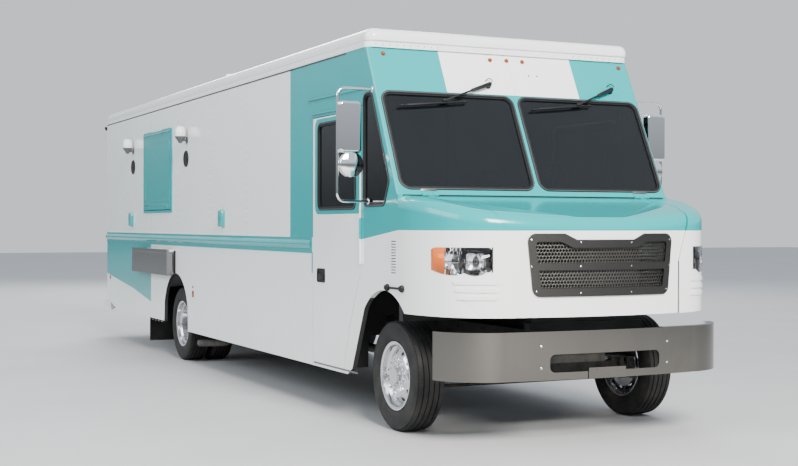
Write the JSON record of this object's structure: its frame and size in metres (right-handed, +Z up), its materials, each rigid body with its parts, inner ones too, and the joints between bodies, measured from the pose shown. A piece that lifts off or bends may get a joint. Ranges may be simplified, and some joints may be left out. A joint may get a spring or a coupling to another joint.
{
  "type": "food truck",
  "caption": "Long walk-in food truck with a moulded nose, a serving hatch and folding shelf on one side, hollow body and working doors, hood, steering and wheels.",
  "frame": {"origin": "on the ground, midway between the front of the number plate bracket and the back of the rear bumper", "axes": "+Y along the truck to its rear, the nose faces -Y; +X is the truck's left side; +Z up"},
  "size_m": [3.038, 10.762, 3.1949],
  "materials": {
    "white_paint": "gloss paint",
    "teal_paint": "gloss paint",
    "frame_paint": "satin chassis paint",
    "inner_panel": "satin",
    "cast_parts": "rough casting",
    "sheet_aluminium": "mill finish sheet",
    "polished_aluminium": "polished",
    "gunmetal": "dark grey metal, brushed",
    "stainless": "brushed",
    "bright_steel": "polished",
    "tyre_rubber": "worn rubber",
    "black_rubber": "matt",
    "black_plastic": "grained",
    "grey_plastic": "grained",
    "lamp_lens": "clear lens over reflector",
    "red_lens": "clear gloss",
    "glass": "tinted",
    "seat_cloth": "woven"
  },
  "bodies": {
    "chassis_body": {"chassis_frame": "frame_paint", "engine": "cast_parts", "radiator": "sheet_aluminium", "fuel_tank": "polished_aluminium", "exhaust": "stainless", "front_axle": "frame_paint", "rear_axle": "frame_paint", "kitchen_floor": "sheet_aluminium", "cab_floor": "sheet_aluminium", "firewall": "inner_panel", "partition": "inner_panel", "dashboard": "grey_plastic", "driver_seat": "frame_paint", "seat_cushions": "seat_cloth", "windscreen_frame": "teal_paint", "cab_windows": "glass", "cab_side_right": "teal_paint", "cab_side_left": "teal_paint", "side_wall_right": "white_paint", "side_wall_left": "white_paint", "rear_wall": "white_paint", "roof": "white_paint", "fenders": "white_paint", "headlights": "lamp_lens", "front_bumper": "bright_steel", "rear_bumper": "white_paint", "rub_rails": "teal_paint", "mirrors": "stainless", "wipers": "black_plastic", "side_fittings": "black_plastic", "tail_lamps": "red_lens", "mud_flaps": "black_rubber"},
    "hood_body": {"hood": "white_paint", "grille": "gunmetal", "grille_sheet": "gunmetal"},
    "cab_door_right_body": {"cab_door_right": "teal_paint", "cab_door_glass_right": "glass"},
    "cab_door_left_body": {"cab_door_left": "teal_paint", "cab_door_glass_left": "glass"},
    "rear_door_right_body": {"rear_door_right": "white_paint", "rear_door_glass_right": "glass"},
    "rear_door_left_body": {"rear_door_left": "white_paint", "rear_door_glass_left": "glass"},
    "hatch_body": {"serving_hatch": "teal_paint"},
    "shelf_body": {"serving_shelf": "stainless"},
    "knuckle_right_body": {"knuckle_right": "cast_parts"},
    "knuckle_left_body": {"knuckle_left": "cast_parts"},
    "tie_rod_body": {"tie_rod": "cast_parts"},
    "front_wheel_right": {"front_tyre_right": "tyre_rubber", "front_rim_right": "polished_aluminium"},
    "front_wheel_left": {"front_tyre_left": "tyre_rubber", "front_rim_left": "polished_aluminium"},
    "rear_wheel_right": {"rear_tyres_right": "tyre_rubber", "rear_rims_right": "polished_aluminium"},
    "rear_wheel_left": {"rear_tyres_left": "tyre_rubber", "rear_rims_left": "polished_aluminium"},
    "steering_wheel_body": {"steering_wheel": "black_plastic"}
  },
  "joints": [
    {"name": "hood_hinge", "type": "hinge", "parent": "chassis_body", "child": "hood_body", "pos_m": [0, -4.45707, 1.79051], "axis": [-1, 0, 0], "range_deg": [0, 60]},
    {"name": "cab_door_hinge_right", "type": "hinge", "parent": "chassis_body", "child": "cab_door_right_body", "pos_m": [-1.2283, -3.765, 1.85], "axis": [0, 0, 1], "range_deg": [0, 80]},
    {"name": "cab_door_hinge_left", "type": "hinge", "parent": "chassis_body", "child": "cab_door_left_body", "pos_m": [1.2283, -3.765, 1.85], "axis": [0, 0, -1], "range_deg": [0, 80]},
    {"name": "rear_door_hinge_right", "type": "hinge", "parent": "chassis_body", "child": "rear_door_right_body", "pos_m": [-0.7, 5.1343, 1.855], "axis": [0, 0, 1], "range_deg": [0, 110]},
    {"name": "rear_door_hinge_left", "type": "hinge", "parent": "chassis_body", "child": "rear_door_left_body", "pos_m": [0.7, 5.1343, 1.855], "axis": [0, 0, -1], "range_deg": [0, 110]},
    {"name": "hatch_hinge", "type": "hinge", "parent": "chassis_body", "child": "hatch_body", "pos_m": [-1.2423, 2.3875, 2.666], "axis": [0, 1, 0], "range_deg": [0, 90]},
    {"name": "shelf_hinge", "type": "hinge", "parent": "chassis_body", "child": "shelf_body", "pos_m": [-1.271, 2.47, 1.262], "axis": [0, 1, 0], "range_deg": [0, 90]},
    {"name": "steer_right", "type": "hinge", "parent": "chassis_body", "child": "knuckle_right_body", "pos_m": [-0.85, -4.21, 0.419], "axis": [0, 0, 1], "range_deg": [-35, 35]},
    {"name": "steer_left", "type": "hinge", "parent": "chassis_body", "child": "knuckle_left_body", "pos_m": [0.85, -4.21, 0.419], "axis": [0, 0, 1], "range_deg": [-35, 35]},
    {"name": "tie_rod_pivot", "type": "hinge", "parent": "knuckle_right_body", "child": "tie_rod_body", "pos_m": [-0.85, -4.05, 0.299], "axis": [0, 0, 1], "range_deg": [-35, 35]},
    {"name": "steering_wheel_turn", "type": "hinge", "parent": "chassis_body", "child": "steering_wheel_body", "pos_m": [0.6, -3.595, 1.905], "axis": [0, 0.848, 0.5299], "range_deg": [-560, 560]},
    {"name": "front_wheel_spin_right", "type": "hinge", "parent": "knuckle_right_body", "child": "front_wheel_right", "pos_m": [-1.028, -4.21, 0.419], "axis": [1, 0, 0], "continuous": true},
    {"name": "front_wheel_spin_left", "type": "hinge", "parent": "knuckle_left_body", "child": "front_wheel_left", "pos_m": [1.028, -4.21, 0.419], "axis": [1, 0, 0], "continuous": true},
    {"name": "rear_wheel_spin_right", "type": "hinge", "parent": "chassis_body", "child": "rear_wheel_right", "pos_m": [-0.907, 1.55, 0.419], "axis": [1, 0, 0], "continuous": true},
    {"name": "rear_wheel_spin_left", "type": "hinge", "parent": "chassis_body", "child": "rear_wheel_left", "pos_m": [0.907, 1.55, 0.419], "axis": [1, 0, 0], "continuous": true}
  ],
  "couplings": [
    {"joint": "steer_left", "follows": "steer_right", "ratio": 1},
    {"joint": "tie_rod_pivot", "follows": "steer_right", "ratio": -1},
    {"joint": "steering_wheel_turn", "follows": "steer_right", "ratio": 16}
  ]
}
